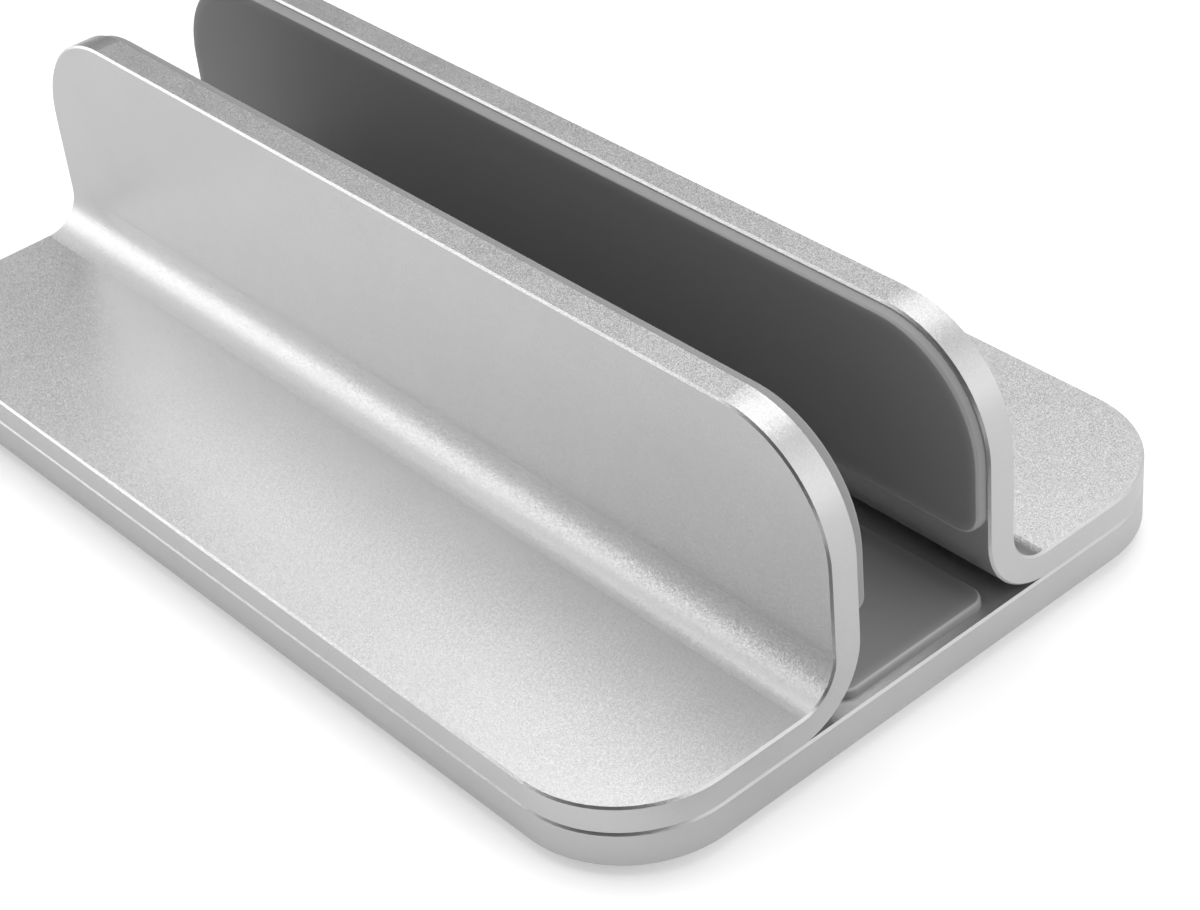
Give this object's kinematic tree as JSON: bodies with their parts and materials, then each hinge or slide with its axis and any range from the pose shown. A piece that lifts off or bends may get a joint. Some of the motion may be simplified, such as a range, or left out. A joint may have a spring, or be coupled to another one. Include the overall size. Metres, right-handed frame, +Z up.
{
  "type": "vertical laptop stand",
  "caption": "Low aluminium desk stand that holds a closed laptop upright in a padded slot between bent brackets that slide across its base plate to set the width.",
  "frame": {"origin": "middle of the footprint, on the surface that the feet stand on", "axes": "+X across the slot from the left bracket to the right one, +Y along the slot away from the near end, +Z up"},
  "size_m": [0.12, 0.193, 0.0543],
  "materials": {
    "anodised_aluminium": "bead-blasted and clear anodised, fine satin grain",
    "pad_silicone": "smooth satin moulded silicone, mid grey",
    "foot_silicone": "matt moulded silicone, dark grey",
    "screw_steel": "turned stainless steel with a pressed hex socket",
    "washer_steel": "stamped stainless steel"
  },
  "bodies": {
    "base": {"base_plate": "anodised_aluminium", "base_pad": "pad_silicone", "left_front_foot": "foot_silicone", "left_rear_foot": "foot_silicone", "right_front_foot": "foot_silicone", "right_rear_foot": "foot_silicone"},
    "left_slider": {"left_bracket": "anodised_aluminium", "left_side_pad": "pad_silicone", "left_front_screw": "screw_steel", "left_rear_screw": "screw_steel", "left_front_washer": "washer_steel", "left_rear_washer": "washer_steel"},
    "right_slider": {"right_bracket": "anodised_aluminium", "right_side_pad": "pad_silicone", "right_front_screw": "screw_steel", "right_rear_screw": "screw_steel", "right_front_washer": "washer_steel", "right_rear_washer": "washer_steel"}
  },
  "joints": [
    {"name": "left_bracket_slide", "type": "slide", "parent": "base", "child": "left_slider", "axis": [1, 0, 0], "range_m": [0, 0.0042]},
    {"name": "right_bracket_slide", "type": "slide", "parent": "base", "child": "right_slider", "axis": [-1, 0, 0], "range_m": [0, 0.0042]}
  ]
}
